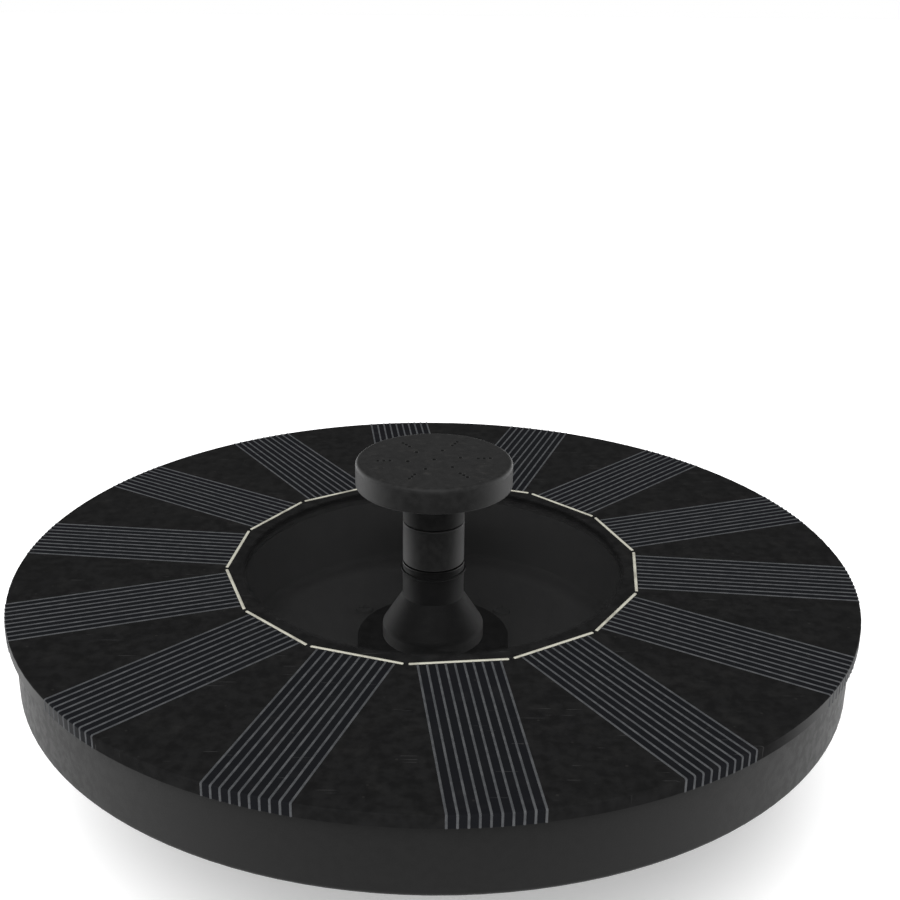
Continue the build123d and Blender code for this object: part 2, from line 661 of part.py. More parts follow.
def strainer():
    """The twist-off strainer cup with its slots, the sponge in it and the feet under it."""
    groove_low = LUG_LOW - REST_GAP
    groove_high = LUG_HIGH + REST_GAP
    half_slot = degrees((LUG_WIDTH / 2 + REST_GAP) / SPIGOT_RADIUS)
    groove_start = LUG_ANGLE - TWIST_RANGE - half_slot
    with BuildPart() as strainer_cover:
        revolve(ring_section(0, HOUSING_RADIUS, STRAINER_FLOOR, STRAINER_TOP), axis=Axis.Z)
        fillet(strainer_cover.edges().group_by(Axis.Z)[0], 1.4)
        inside = ring_section(0, STRAINER_BORE, STRAINER_INSIDE, STRAINER_TOP)
        revolve(inside, axis=Axis.Z, mode=Mode.SUBTRACT)
        with PolarLocations(0, LUG_COUNT):
            add(
                arc_block(
                    STRAINER_BORE - 0.5,
                    SLOT_FLOOR_RADIUS,
                    groove_low,
                    groove_high,
                    groove_start,
                    TWIST_RANGE + 2 * half_slot,
                ),
                mode=Mode.SUBTRACT,
            )
            add(
                arc_block(
                    STRAINER_BORE - 0.5,
                    SLOT_FLOOR_RADIUS,
                    groove_low,
                    STRAINER_TOP + 1,
                    groove_start,
                    2 * half_slot,
                ),
                mode=Mode.SUBTRACT,
            )
        with BuildSketch(Plane.XY):
            with PolarLocations(12.0, 20):
                SlotOverall(10.5, 1.6)
        extrude(amount=STRAINER_INSIDE + 0.2, mode=Mode.SUBTRACT)
        with PolarLocations(HOUSING_RADIUS - 1, 30):
            with Locations((0, 0, 5.7)):
                Box(5.0, 1.8, 4.4, mode=Mode.SUBTRACT)
        with BuildSketch(Plane.XY):
            with PolarLocations(21.0, 4, start_angle=45):
                Circle(2.8)
        extrude(amount=STRAINER_FLOOR + 0.5, mode=Mode.SUBTRACT)
    save(strainer_cover, "strainer_cover")

    with BuildPart() as filter_sponge:
        revolve(ring_section(0, STRAINER_BORE - 0.4, STRAINER_INSIDE, SPONGE_TOP), axis=Axis.Z)
        fillet(filter_sponge.edges().group_by(Axis.Z)[-1], 0.5)
    save(filter_sponge, "filter_sponge")

    with BuildPart() as rubber_feet:
        with BuildSketch(Plane.XY):
            with PolarLocations(21.0, 4, start_angle=45):
                Circle(2.8)
        extrude(amount=STRAINER_FLOOR + 0.5)
        fillet(rubber_feet.edges().group_by(Axis.Z)[0], 0.3)
    save(rubber_feet, "rubber_feet")


def riser_and_nozzle():
    """The push-in riser sleeve and the spray head that pushes onto it, with their rings."""
    shoulder = PANEL_TOP + REST_GAP
    sleeve_top = PANEL_TOP + SLEEVE_TOP
    spigot = PIPE_BORE - PUSH_CLEARANCE
    groove_low = PANEL_TOP - 4.6
    groove_high = PANEL_TOP - 3.6
    top_spigot = 4.2
    top_end = sleeve_top + 5.4
    top_groove = sleeve_top + 2.2
    with BuildPart() as riser_sleeve:
        revolve(
            half_section(
                (SLEEVE_BORE, PANEL_TOP - 8.0),
                (spigot, PANEL_TOP - 8.0),
                (spigot, shoulder),
                (SLEEVE_RADIUS, shoulder),
                (SLEEVE_RADIUS, sleeve_top),
                (top_spigot, sleeve_top),
                (top_spigot, top_end),
                (SLEEVE_BORE, top_end),
            ),
            axis=Axis.Z,
        )
        shoulders = riser_sleeve.edges().filter_by(
            lambda edge: edge.geom_type == GeomType.CIRCLE and abs(edge.radius - SLEEVE_RADIUS) < 0.01
        )
        fillet(shoulders, 0.25)
        revolve(ring_section(3.75, spigot + 0.1, groove_low, groove_high), axis=Axis.Z, mode=Mode.SUBTRACT)
        top_ring = ring_section(3.7, top_spigot + 0.1, top_groove, top_groove + 1.0)
        revolve(top_ring, axis=Axis.Z, mode=Mode.SUBTRACT)
    save(riser_sleeve, "riser_sleeve")

    with BuildPart() as riser_ring:
        revolve(ring_section(3.75, PIPE_BORE - 0.05, groove_low, groove_high), axis=Axis.Z)
        fillet(riser_ring.edges().filter_by(GeomType.CIRCLE).sort_by(SortBy.RADIUS)[-2:], 0.2)
    save(riser_ring, "riser_ring")

    neck_bore = top_spigot + PUSH_CLEARANCE
    with BuildPart() as nozzle_ring:
        revolve(ring_section(3.7, neck_bore - 0.05, top_groove, top_groove + 1.0), axis=Axis.Z)
        fillet(nozzle_ring.edges().filter_by(GeomType.CIRCLE).sort_by(SortBy.RADIUS)[-2:], 0.2)
    save(nozzle_ring, "nozzle_ring")

    neck_low = sleeve_top + REST_GAP
    head_low = PANEL_TOP + HEAD_BOTTOM
    head_high = PANEL_TOP + HEAD_TOP
    bore_end = top_end + REST_GAP
    plug_radius = HEAD_RADIUS - HEAD_WALL
    with BuildPart() as nozzle_base:
        revolve(
            half_section(
                (neck_bore, neck_low),
                (NECK_RADIUS, neck_low),
                (NECK_RADIUS, head_low),
                (plug_radius, head_low),
                (plug_radius, head_low + 1.4),
                (SLEEVE_BORE, head_low + 1.4),
                (SLEEVE_BORE, bore_end),
                (neck_bore, bore_end),
            ),
            axis=Axis.Z,
        )
        root_ring = nozzle_base.edges().filter_by(
            lambda edge: edge.geom_type == GeomType.CIRCLE
            and abs(edge.radius - NECK_RADIUS) < 0.01
            and abs(edge.center().Z - head_low) < 0.01
        )
        fillet(root_ring, 1.0)
    save(nozzle_base, "nozzle_base")

    with BuildPart() as spray_cap:
        revolve(ring_section(0, HEAD_RADIUS, head_low, head_high), axis=Axis.Z)
        fillet(spray_cap.edges().group_by(Axis.Z)[-1], HEAD_ROUND)
        fillet(spray_cap.edges().group_by(Axis.Z)[0], 0.3)
        revolve(ring_section(0, plug_radius, head_low, head_high - 1.3), axis=Axis.Z, mode=Mode.SUBTRACT)
        with BuildSketch(Plane.XY.offset(head_high - 2)):
            Circle(0.45)
            with PolarLocations(5.1, 6, start_angle=12):
                Circle(0.45)
            for row_radius in (8.4, 9.55, 10.7):
                with PolarLocations(row_radius, 6, start_angle=5):
                    Circle(0.4)
        extrude(amount=3, mode=Mode.SUBTRACT)
    save(spray_cap, "spray_cap")


os.makedirs("parts", exist_ok=True)
panel()
float_body()
pump_lead()
hub()
motor()
rotor()
volute()
strainer()
riser_and_nozzle()
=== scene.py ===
"""Looks of a floating solar fountain pump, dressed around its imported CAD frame.

Each sub-assembly is a class that knows its own sizes, builds the meshes that the frame leaves
plain and gives every piece its finish. All lengths are metres in the frame's own axes.
"""

from __future__ import annotations

import logging
import math
from dataclasses import dataclass, field
from enum import Enum
from typing import Callable, Iterable, Iterator, Protocol, Sequence, Union

import bmesh
import bpy
from mathutils import Matrix, Vector, noise


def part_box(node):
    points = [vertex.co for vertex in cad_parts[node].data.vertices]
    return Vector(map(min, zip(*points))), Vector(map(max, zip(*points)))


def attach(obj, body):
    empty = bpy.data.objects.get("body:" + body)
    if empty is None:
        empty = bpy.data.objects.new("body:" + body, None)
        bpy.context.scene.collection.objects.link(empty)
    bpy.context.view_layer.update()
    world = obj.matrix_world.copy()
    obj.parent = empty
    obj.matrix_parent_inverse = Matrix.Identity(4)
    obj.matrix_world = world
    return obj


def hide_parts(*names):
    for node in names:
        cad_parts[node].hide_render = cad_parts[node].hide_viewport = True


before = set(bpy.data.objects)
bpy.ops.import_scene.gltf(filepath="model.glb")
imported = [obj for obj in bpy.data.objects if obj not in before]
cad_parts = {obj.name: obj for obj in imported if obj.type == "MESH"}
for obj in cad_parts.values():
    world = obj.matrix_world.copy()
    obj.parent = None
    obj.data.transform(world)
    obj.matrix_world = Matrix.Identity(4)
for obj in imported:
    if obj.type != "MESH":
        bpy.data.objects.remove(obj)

LOG = logging.getLogger("solar_fountain")
MM = 0.001
CELL_COUNT = 14
CELL_PITCH = math.tau / CELL_COUNT
FIRST_CELL_ANGLE = math.radians(276.5)

Colour = tuple[float, float, float]
Socket = bpy.types.NodeSocket
Source = Union[Socket, float, tuple[float, ...]]
Ring = Sequence[bmesh.types.BMVert]


def grey(value: float) -> Colour:
    """Return a neutral colour of one linear value."""
    return (value, value, value)


def scaled(colour: Colour, factor: float, lift: float = 0.0) -> Colour:
    """Return a colour times a factor, with a lift added to each channel."""
    red, green, blue = (channel * factor + lift for channel in colour)
    return (red, green, blue)


def cell_turns() -> Iterator[Matrix]:
    """Yield the rotation about Z that takes +X to each cell's middle, in order."""
    for number in range(CELL_COUNT):
        yield Matrix.Rotation(FIRST_CELL_ANGLE + number * CELL_PITCH, 3, "Z")


# --- Node graph helpers ---


@dataclass
class Graph:
    """Adds nodes to one node tree, of a material, a world or a group, and joins their sockets."""

    tree: bpy.types.NodeTree

    def add(self, kind: str, **settings: object) -> bpy.types.Node:
        """Add a node.

        Args:
            kind: The node's type name, without the "ShaderNode" in front.
            settings: Node properties to set, such as operation="ADD".

        Returns:
            The new node.
        """
        prefix = "" if kind.startswith("Node") else "ShaderNode"
        node = self.tree.nodes.new(prefix + kind)
        for name, value in settings.items():
            setattr(node, name, value)
        return node

    def join(self, source: Source, target: Socket) -> None:
        """Link a socket, or set the target's own value if the source is a plain number or colour.

        Args:
            source: A socket, or the value to set.
            target: The input that takes it.
        """
        if isinstance(source, Socket):
            self.tree.links.new(source, target)
        else:
            target.default_value = source

    def feed(self, node: bpy.types.Node, **values: Source) -> None:
        """Join values to a node's inputs by name, with underscores for spaces."""
        for name, value in values.items():
            self.join(value, node.inputs[name.replace("_", " ")])

    def math(self, operation: str, *values: Source) -> Socket:
        """Add a Math node.

        Args:
            operation: The node's operation, such as "MULTIPLY".
            values: Sockets or numbers for its inputs, in order.

        Returns:
            The result socket.
        """
        node = self.add("Math", operation=operation)
        for value, target in zip(values, node.inputs):
            self.join(value, target)
        return node.outputs[0]

    def product(self, first: Source, *others: Source) -> Socket:
        """Return all the values multiplied together, from the left.

        Args:
            first: The first value.
            others: The values to multiply it by, one or more.

        Returns:
            The product's socket.
        """
        result = first
        for other in others:
            result = self.math("MULTIPLY", result, other)
        return result

    def remap(
        self, value: Source, low: Source, high: Source, to_low: float = 0.0, to_high: float = 1.0
    ) -> Socket:
        """Return value mapped smoothly from one range to another, held at the ends.

        Args:
            value: The socket to map.
            low: The value that becomes to_low; it may be above high, which turns the ramp round.
            high: The value that becomes to_high.
            to_low: The result at low and beyond it.
            to_high: The result at high and beyond it.

        Returns:
            The result socket.
        """
        node = self.add("MapRange", interpolation_type="SMOOTHSTEP")
        self.feed(node, Value=value, From_Min=low, From_Max=high, To_Min=to_low, To_Max=to_high)
        return node.outputs["Result"]

    def blend(self, share: Source, first: Source, second: Source) -> Socket:
        """Return a colour between first and second.

        Args:
            share: Socket or number, 0 for first and 1 for second.
            first: A colour or a colour socket.
            second: A colour or a colour socket.

        Returns:
            The mixed colour's socket.
        """
        node = self.add("Mix", data_type="RGBA")
        self.join(share, node.inputs["Factor"])
        for source, target in ((first, node.inputs["A"]), (second, node.inputs["B"])):
            self.join((*source, 1.0) if isinstance(source, tuple) else source, target)
        return node.outputs["Result"]

    def noise(
        self, scale: Source, detail: float = 3.0, vector: Socket | None = None
    ) -> Socket:
        """Return a noise value around 0.5.

        Args:
            scale: Cells per metre of object space.
            detail: Octaves of finer noise.
            vector: Coordinates to use, or None for the object's own.

        Returns:
            The factor socket.
        """
        node = self.add("TexNoise")
        self.feed(node, Vector=self.place() if vector is None else vector, Scale=scale, Detail=detail)
        return node.outputs["Fac"]

    def place(self) -> Socket:
        """Return the object-space position, in metres."""
        return self.add("TexCoord").outputs["Object"]

    def split(self, vector: Socket) -> tuple[Socket, ...]:
        """Take a vector apart.

        Args:
            vector: The vector's socket.

        Returns:
            Its X, Y and Z sockets.
        """
        node = self.add("SeparateXYZ")
        self.join(vector, node.inputs[0])
        return tuple(node.outputs)

    def normal_rise(self) -> Socket:
        """Return the surface normal's Z: 1 on faces that look up, 0 on upright ones."""
        return self.split(self.add("NewGeometry").outputs["Normal"])[2]

    def reach(self, x: Source, y: Source) -> Socket:
        """Return the distance from the Z axis of a point at x and y."""
        return self.math("SQRT", self.math("ADD", self.product(x, x), self.product(y, y)))


class Effect(Enum):
    """The shader node groups that several finishes share."""

    EDGE_WEAR = "Edge wear"
    GRAIN = "Moulded grain"
    SCRATCHES = "Fine scratches"
    DUST = "Settled dust"
    CELL_WINDOWS = "Cell windows"
    # Masks for the painted light that lifts the shade inside the well.
    PAINTED_WELL_LIGHT = "Well lining"


class EffectShelf:
    """Builds each shared effect once and places copies of it in materials."""

    def __init__(self) -> None:
        """Start with no group built."""
        self._built: dict[Effect, bpy.types.NodeTree] = {}
        self._makers: dict[Effect, Callable[[], bpy.types.NodeTree]] = {
            Effect.EDGE_WEAR: self._edge_wear,
            Effect.GRAIN: self._grain,
            Effect.SCRATCHES: self._scratches,
            Effect.DUST: self._dust,
            Effect.CELL_WINDOWS: self._cell_windows,
            Effect.PAINTED_WELL_LIGHT: self._painted_well_light,
        }

    def place(self, graph: Graph, effect: Effect, **values: Source) -> bpy.types.Node:
        """Place an effect in a material.

        Args:
            graph: The material's graph.
            effect: The effect to place.
            values: Input values by socket name, with underscores for spaces.

        Returns:
            The group node.
        """
        if effect not in self._built:
            self._built[effect] = self._makers[effect]()
        node = graph.add("Group", node_tree=self._built[effect])
        graph.feed(node, **values)
        return node

    @staticmethod
    def _open(
        effect: Effect, inputs: dict[str, float], outputs: Sequence[str]
    ) -> tuple[Graph, bpy.types.Node, bpy.types.Node]:
        """Make an empty group with named float sockets.

        Args:
            effect: The effect whose name the group takes.
            inputs: Socket names with their usual values.
            outputs: Names of the group's outputs.

        Returns:
            The group's graph, its input node and its output node.
        """
        tree = bpy.data.node_groups.new(effect.value, "ShaderNodeTree")
        for name, value in inputs.items():
            socket = tree.interface.new_socket(name, in_out="INPUT", socket_type="NodeSocketFloat")
            socket.default_value = value
        for name in outputs:
            tree.interface.new_socket(name, in_out="OUTPUT", socket_type="NodeSocketFloat")
        graph = Graph(tree)
        return graph, graph.add("NodeGroupInput"), graph.add("NodeGroupOutput")

    def _edge_wear(self) -> bpy.types.NodeTree:
        """Build the effect whose Mask is high on edges that hands and water rub.

        Returns:
            The group's tree.
        """
        graph, inlet, outlet = self._open(Effect.EDGE_WEAR, {"Width": 0.4 * MM, "Amount": 0.5}, ["Mask"])
        rounded = graph.add("Bevel", samples=4)
        graph.feed(rounded, Radius=inlet.outputs["Width"])
        agreement = graph.add("VectorMath", operation="DOT_PRODUCT")
        graph.join(rounded.outputs["Normal"], agreement.inputs[0])
        graph.join(graph.add("NewGeometry").outputs["Normal"], agreement.inputs[1])
        edge = graph.remap(agreement.outputs["Value"], low=0.99, high=0.86)
        patches = graph.remap(graph.noise(scale=420.0, detail=4.0), low=0.35, high=0.7)
        graph.join(graph.product(edge, patches, inlet.outputs["Amount"]), outlet.inputs["Mask"])
        return graph.tree

    def _grain(self) -> bpy.types.NodeTree:
        """Build the effect with a fine moulded grain and mottling that is slower than the grain.

        Returns:
            The group's tree.
        """
        mottle_share = 0.22
        graph, inlet, outlet = self._open(Effect.GRAIN, {"Scale": 3000.0}, ["Height", "Mottle"])
        scale = inlet.outputs["Scale"]
        graph.join(graph.noise(scale, detail=2.0), outlet.inputs["Height"])
        slow = graph.noise(graph.product(scale, mottle_share), detail=6.0)
        graph.join(graph.remap(slow, low=0.3, high=0.7), outlet.inputs["Mottle"])
        return graph.tree

    def _scratches(self) -> bpy.types.NodeTree:
        """Build the effect whose Mask is high along a few short hairline scratches.

        Returns:
            The group's tree.
        """
        directions = (0.35, 1.9)
        slenderness = 42.0
        bare_reach, density_gain, soft_edge = 0.75, 0.25, 0.06
        graph, inlet, outlet = self._open(Effect.SCRATCHES, {"Length": 40.0, "Density": 0.5}, ["Mask"])
        masks = []
        for direction in directions:
            lines = graph.add("Mapping")
            stretch = (1.0, slenderness, 1.0)
            graph.feed(lines, Vector=graph.place(), Rotation=(0.0, 0.0, direction), Scale=stretch)
            strokes = graph.add("TexVoronoi")
            graph.feed(strokes, Vector=lines.outputs["Vector"], Scale=inlet.outputs["Length"])
            masks.append(graph.remap(strokes.outputs["Distance"], low=0.13, high=0.05))
        lowered = graph.product(inlet.outputs["Density"], density_gain)
        threshold = graph.math("SUBTRACT", bare_reach, lowered)
        full = graph.math("ADD", threshold, soft_edge)
        patch = graph.remap(graph.noise(scale=230.0, detail=1.0), threshold, full)
        graph.join(graph.product(graph.math("MAXIMUM", *masks), patch), outlet.inputs["Mask"])
        return graph.tree

    def _dust(self) -> bpy.types.NodeTree:
        """Build the effect whose Mask is a thin film and a few specks on faces that look up.

        Returns:
            The group's tree.
        """
        film_weight = 0.5
        graph, inlet, outlet = self._open(Effect.DUST, {"Scale": 400.0, "Amount": 0.3}, ["Mask"])
        facing = graph.remap(graph.normal_rise(), low=0.55, high=0.95)
        film = graph.remap(graph.noise(inlet.outputs["Scale"], detail=6.0), low=0.5, high=0.85)
        points = graph.add("TexVoronoi")
        graph.feed(points, Vector=graph.place(), Scale=inlet.outputs["Scale"])
        specks = graph.remap(points.outputs["Distance"], low=0.09, high=0.05)
        both = graph.math("MAXIMUM", graph.product(film, film_weight), specks)
        graph.join(graph.product(both, facing, inlet.outputs["Amount"]), outlet.inputs["Mask"])
        return graph.tree

    def _cell_windows(self) -> bpy.types.NodeTree:
        """Build the effect whose Mask is high on the strip of each cell that its lines cross.

        Returns:
            The group's tree.
        """
        usual = {"Inner Radius": 39.4 * MM, "Half Width": 7.3 * MM}
        graph, inlet, outlet = self._open(Effect.CELL_WINDOWS, usual, ["Mask", "Radius"])
        x, y, _ = graph.split(graph.place())
        radius = graph.reach(x, y)
        angle = graph.math("SUBTRACT", graph.math("ARCTAN2", y, x), FIRST_CELL_ANGLE - CELL_PITCH / 2)
        folded = graph.math("SUBTRACT", graph.math("FLOORED_MODULO", angle, CELL_PITCH), CELL_PITCH / 2)
        across = graph.math("ABSOLUTE", graph.product(radius, graph.math("SINE", folded)))
        along = graph.product(radius, graph.math("COSINE", folded))
        beside = graph.math("GREATER_THAN", inlet.outputs["Half Width"], across)
        beyond = graph.math("GREATER_THAN", along, inlet.outputs["Inner Radius"])
        graph.join(graph.product(beside, beyond), outlet.inputs["Mask"])
        graph.join(radius, outlet.inputs["Radius"])
        return graph.tree

    def _painted_well_light(self) -> bpy.types.NodeTree:
        """Build the masks of the well's floor, its wall and the boss's side, where painted light lifts the
        shade inside the well.

        Returns:
            The group's tree.
        """
        usual = {"Well Radius": 37.5 * MM, "Boss Radius": 15.1 * MM, "Floor Height": 28.9 * MM}
        graph, inlet, outlet = self._open(Effect.PAINTED_WELL_LIGHT, usual, ["Floor", "Wall", "Boss Side"])
        x, y, z = graph.split(graph.place())
        radius = graph.reach(x, y)
        level = graph.remap(graph.normal_rise(), low=0.0, high=1.0)
        steep = graph.math("SUBTRACT", 1.0, level)
        within = graph.math("LESS_THAN", radius, inlet.outputs["Well Radius"])
        inside = graph.product(within, graph.math("GREATER_THAN", z, inlet.outputs["Floor Height"]))
        beyond_boss = graph.math("GREATER_THAN", radius, inlet.outputs["Boss Radius"])
        at_boss = graph.math("SUBTRACT", 1.0, beyond_boss)
        graph.join(graph.product(inside, beyond_boss, level), outlet.inputs["Floor"])
        graph.join(graph.product(inside, beyond_boss, steep), outlet.inputs["Wall"])
        graph.join(graph.product(inside, at_boss, steep), outlet.inputs["Boss Side"])
        return graph.tree


SHELF = EffectShelf()


# --- Finishes ---


def open_material(name: str) -> tuple[bpy.types.Material, Graph, bpy.types.Node]:
    """Make an empty node material.

    Args:
        name: The material's name.

    Returns:
        The material, its graph and its Principled BSDF node.
    """
    material = bpy.data.materials.new(name)
    material.use_nodes = True
    tree = material.node_tree
    return material, Graph(tree), tree.nodes["Principled BSDF"]


def add_bump(graph: Graph, shader: bpy.types.Node, height: Source, depth: float) -> None:
    """Feed a height into the shader's normal.

    Args:
        graph: The material's graph.
        shader: The Principled BSDF node.
        height: The height's socket, from 0 to 1.
        depth: How deep the relief is, in metres.
    """
    bump = graph.add("Bump")
    graph.feed(bump, Strength=1.0, Distance=depth, Height=height)
    graph.feed(shader, Normal=bump.outputs["Normal"])


def painted_rim_sheen(graph: Graph, start: float, full: float) -> Socket:
    """Return a mask of upright faces where they turn away from the view, where a painted sheen lays a paler
    grey.

    Args:
        graph: The material's graph.
        start: Layer Weight facing at which the mask starts.
        full: Facing at which it is full.

    Returns:
        The mask's socket.
    """
    turned = graph.add("LayerWeight")
    graph.feed(turned, Blend=0.5)
    upright = graph.remap(graph.math("ABSOLUTE", graph.normal_rise()), low=0.95, high=0.45)
    return graph.product(graph.remap(turned.outputs["Facing"], start, full), upright)


class Finish(Protocol):
    """What the wardrobe asks of a finish."""

    def material(self) -> bpy.types.Material:
        """Return this finish as a material."""


@dataclass(frozen=True)
class Moulded:
    """Moulded plastic, rubber or epoxy: fine grain, slow mottling, rubbed edges, a little dust, and where
    set a painted sheen on upright faces turned away and painted light inside the well.
    """

    name: str
    colour: Colour
    roughness: float = 0.5
    specular: float = 0.3
    grain_scale: float = 3200.0
    grain_depth: float = 0.02 * MM
    mottle: float = 0.18
    wear: float = 0.35
    wear_width: float = 0.35 * MM
    dust: float = 0.12
    # Painted highlight: rim is the grey of a painted sheen on upright faces that turn away from the view.
    rim: float = 0.0
    # Painted light: these greys lift the well's floor, wall and boss side out of their shade.
    painted_well_floor: float = 0.0
    painted_well_wall: float = 0.0
    painted_boss_side: float = 0.012
    dust_scale: float = 520.0
    dust_colour: Colour = (0.18, 0.17, 0.155)
    rub_gain: float = 1.7
    rub_lift: float = 0.01
    rub_polish: float = 0.15
    roughness_spread: float = 0.05

    def material(self) -> bpy.types.Material:
        """Return this finish as a material.

        Returns:
            The material; the painted rim sheen and the well's painted light are left out where their values
            are 0.
        """
        material, graph, shader = open_material(self.name)
        grain = SHELF.place(graph, Effect.GRAIN, Scale=self.grain_scale)
        wear = SHELF.place(graph, Effect.EDGE_WEAR, Width=self.wear_width, Amount=self.wear)
        dust = SHELF.place(graph, Effect.DUST, Scale=self.dust_scale, Amount=self.dust)
        dark, light = scaled(self.colour, 1 - self.mottle), scaled(self.colour, 1 + self.mottle)
        body = graph.blend(grain.outputs["Mottle"], dark, light)
        # Painted sheen: upright faces turned away from the view are blended towards the rim grey.
        if self.rim:
            body = graph.blend(painted_rim_sheen(graph, start=0.12, full=0.82), body, grey(self.rim))
        # Painted light: the well's floor, wall and boss side, seen through the smoked window, are lifted to
        # paler greys to cancel the shade inside the well.
        if self.painted_well_wall:
            painted_light = SHELF.place(graph, Effect.PAINTED_WELL_LIGHT)
            body = graph.blend(painted_light.outputs["Wall"], body, grey(self.painted_well_wall))
            body = graph.blend(painted_light.outputs["Floor"], body, grey(self.painted_well_floor))
            body = graph.blend(painted_light.outputs["Boss Side"], body, grey(self.painted_boss_side))
        worn = graph.blend(wear.outputs["Mask"], body, scaled(self.colour, self.rub_gain, self.rub_lift))
        dusty = graph.blend(dust.outputs["Mask"], worn, self.dust_colour)
        smooth, rough = self.roughness - self.roughness_spread, self.roughness + self.roughness_spread
        matt = graph.remap(grain.outputs["Mottle"], 0.0, 1.0, smooth, rough)
        polish = graph.product(wear.outputs["Mask"], self.rub_polish)
        roughness = graph.math("SUBTRACT", matt, polish)
        graph.feed(shader, Base_Color=dusty, Roughness=roughness, Specular_IOR_Level=self.specular)
        add_bump(graph, shader, grain.outputs["Height"], self.grain_depth)
        return material


@dataclass(frozen=True)
class SmokedPlate:
    """The cover: blacked out behind the cells and clear enough in the middle to see the pipe's foot."""

    name: str = "smoked plate"
    black: Colour = (0.0092, 0.0092, 0.0093)
    cell_tint: Colour = (0.0072, 0.0076, 0.0088)
    scratch: Colour = (0.05, 0.05, 0.05)
    # Painted highlight: rim is the grey of a painted sheen on the cover's upright rim where it turns away
    # from the view.
    rim: float = 0.12
    window_radius: float = 35.9 * MM
    window_fade: float = 1.3 * MM
    window_alpha: float = 0.4
    strip_half_width: float = 7.2 * MM
    scratch_length: float = 45.0
    scratch_density: float = 0.85
    scratch_strength: float = 0.6
    dust_colour: Colour = (0.12, 0.115, 0.105)
    specular: float = 0.005
    grain_depth: float = 0.006 * MM

    def material(self) -> bpy.types.Material:
        """Return this finish as a material.

        Returns:
            The material, partly clear inside the window radius.
        """
        material, graph, shader = open_material(self.name)
        windows = SHELF.place(graph, Effect.CELL_WINDOWS, Half_Width=self.strip_half_width)
        grain = SHELF.place(graph, Effect.GRAIN, Scale=2600.0)
        scratches = SHELF.place(
            graph, Effect.SCRATCHES, Length=self.scratch_length, Density=self.scratch_density
        )
        dust = SHELF.place(graph, Effect.DUST, Scale=300.0, Amount=0.06)
        mottle = grain.outputs["Mottle"]
        plate = graph.blend(mottle, scaled(self.black, 0.78), scaled(self.black, 1.2))
        striped = graph.blend(windows.outputs["Mask"], plate, self.cell_tint)
        # Painted sheen on the cover's upright rim where it turns away from the view.
        rim_sheened = graph.blend(painted_rim_sheen(graph, start=0.52, full=0.85), striped, grey(self.rim))
        scratched = graph.blend(
            graph.product(scratches.outputs["Mask"], self.scratch_strength), rim_sheened, self.scratch
        )
        dusty = graph.blend(dust.outputs["Mask"], scratched, self.dust_colour)
        matt = graph.remap(mottle, 0.0, 1.0, to_low=0.52, to_high=0.62)
        window_edge = self.window_radius + self.window_fade
        radius = windows.outputs["Radius"]
        clear = graph.remap(radius, self.window_radius, window_edge, self.window_alpha, 1.0)
        graph.feed(shader, Base_Color=dusty, Roughness=matt, Specular_IOR_Level=self.specular, Alpha=clear)
        add_bump(graph, shader, grain.outputs["Height"], self.grain_depth)
        return material


@dataclass(frozen=True)
class PrintedLine:
    """The raised grey print of the cells' fingers, slightly uneven and thin in places."""

    name: str = "printed line"
    ink: Colour = (0.063, 0.065, 0.068)
    thin: Colour = (0.044, 0.046, 0.049)
    specular: float = 0.1
    grain_depth: float = 0.012 * MM

    def material(self) -> bpy.types.Material:
        """Return this finish as a material.

        Returns:
            The material, thinner in the noise's low patches.
        """
        material, graph, shader = open_material(self.name)
        grain = SHELF.place(graph, Effect.GRAIN, Scale=5200.0)
        patches = graph.remap(graph.noise(scale=700.0, detail=4.0), low=0.38, high=0.66)
        ink = graph.blend(patches, self.thin, self.ink)
        matt = graph.remap(grain.outputs["Mottle"], 0.0, 1.0, to_low=0.5, to_high=0.66)
        graph.feed(shader, Base_Color=ink, Roughness=matt, Specular_IOR_Level=self.specular)
        add_bump(graph, shader, grain.outputs["Height"], self.grain_depth)
        return material


@dataclass(frozen=True)
class Metal:
    """A metal surface with brushed or drawn texture and dull patches."""

    name: str
    colour: Colour
    tarnish: Colour
    roughness: float = 0.35
    metallic: float = 1.0
    stretch: tuple[float, float, float] = (900.0, 900.0, 9000.0)
    relief: float = 0.006 * MM
    dulling: float = 0.2

    def material(self) -> bpy.types.Material:
        """Return this finish as a material.

        Returns:
            The material, rougher where it is dull.
        """
        material, graph, shader = open_material(self.name)
        lines = graph.add("Mapping")
        graph.feed(lines, Vector=graph.place(), Scale=self.stretch)
        strokes = graph.noise(1.0, vector=lines.outputs["Vector"])
        dull = graph.remap(graph.noise(scale=260.0, detail=5.0), low=0.45, high=0.75)
        colour = graph.blend(dull, self.colour, self.tarnish)
        roughness = graph.remap(dull, 0.0, 1.0, self.roughness, self.roughness + self.dulling)
        graph.feed(shader, Base_Color=colour, Roughness=roughness, Metallic=self.metallic)
        add_bump(graph, shader, strokes, self.relief)
        return material


@dataclass(frozen=True)
class Foam:
    """Open or closed cellular foam: pitted all over, with a soft matt face."""

    name: str
    colour: Colour
    # pore is the colour of the painted shade in the middle of each pore.
    pore: Colour
    pore_scale: float = 900.0
    depth: float = 0.25 * MM
    specular: float = 0.15

    def material(self) -> bpy.types.Material:
        """Return this finish as a material.

        Returns:
            The material, with painted shade darkest in the middle of each pore, where it is also lowest.
        """
        material, graph, shader = open_material(self.name)
        pores = graph.add("TexVoronoi", feature="SMOOTH_F1")
        graph.feed(pores, Vector=graph.place(), Scale=self.pore_scale)
        wall = graph.remap(pores.outputs["Distance"], low=0.25, high=0.6)
        # Painted shade: each pore's middle is darkened towards the pore colour.
        colour = graph.blend(wall, self.pore, self.colour)
        roughness = graph.remap(wall, 0.0, 1.0, to_low=0.95, to_high=0.8)
        graph.feed(shader, Base_Color=colour, Roughness=roughness, Specular_IOR_Level=self.specular)
        add_bump(graph, shader, wall, self.depth)
        return material


